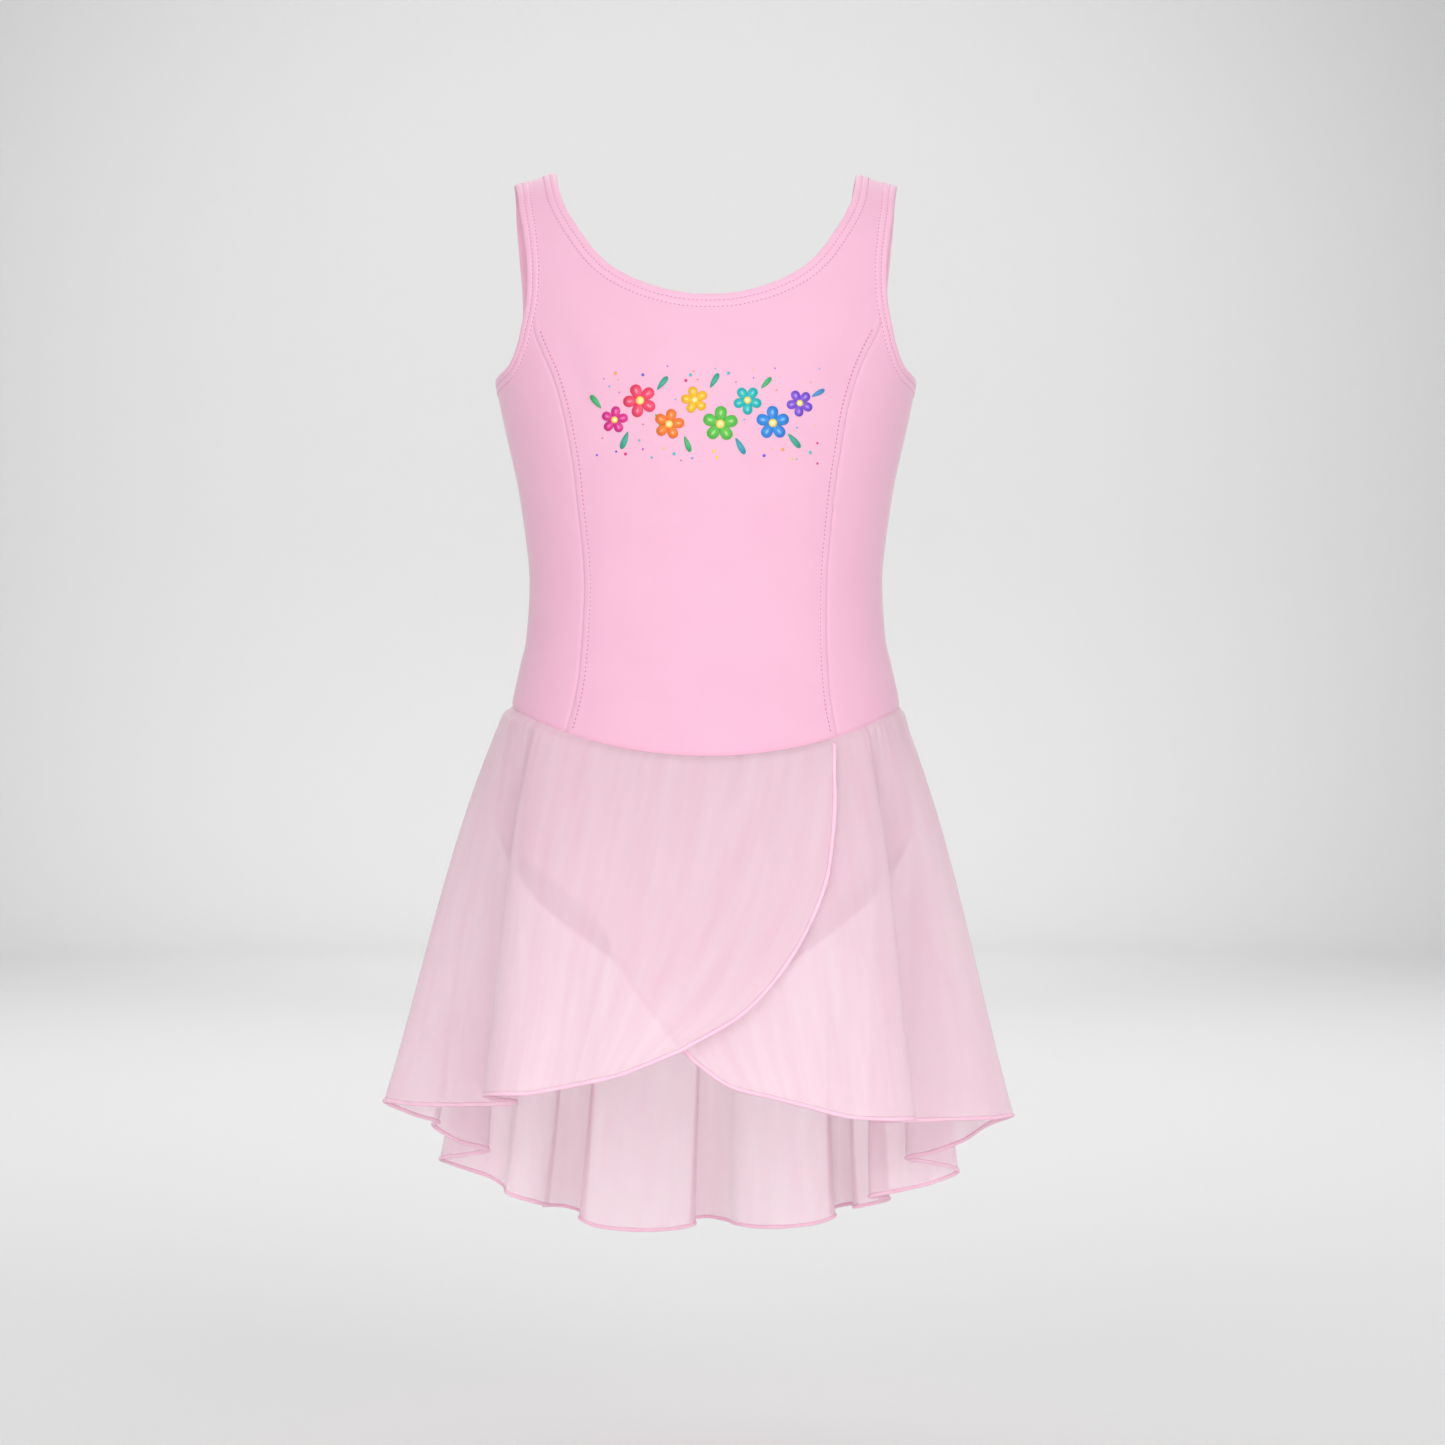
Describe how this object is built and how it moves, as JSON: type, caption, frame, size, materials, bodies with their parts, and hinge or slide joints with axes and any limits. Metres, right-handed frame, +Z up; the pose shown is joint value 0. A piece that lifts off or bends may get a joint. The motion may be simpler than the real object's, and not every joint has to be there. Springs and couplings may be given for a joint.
{
  "type": "skirted leotard",
  "caption": "Child's dance leotard with tank straps, princess seams and a sheer wrap skirt with a rolled hem, in its round worn form.",
  "frame": {"origin": "midway between the two shoulder seams, where the wearer's shoulders hold the straps up", "axes": "+Z up along the body, -Y to the front, +X to the viewer's right as seen from the front"},
  "size_m": [0.3833, 0.2869, 0.6618],
  "materials": {
    "knit": "smooth pink stretch knit with a soft sheen",
    "edge": "pink knit turned over elastic, two rows of stitching",
    "chiffon": "sheer pale pink chiffon",
    "rolled_hem": "narrow rolled hem, pink overlock thread"
  },
  "bodies": {
    "root": {"front_centre": "knit", "front_side_left": "knit", "front_side_right": "knit", "back": "knit", "brief_front": "knit", "brief_back": "knit", "neck_band": "edge", "armhole_band_left": "edge", "armhole_band_right": "edge", "leg_band_left": "edge", "leg_band_right": "edge", "skirt": "chiffon", "skirt_hem": "rolled_hem"}
  },
  "joints": []
}
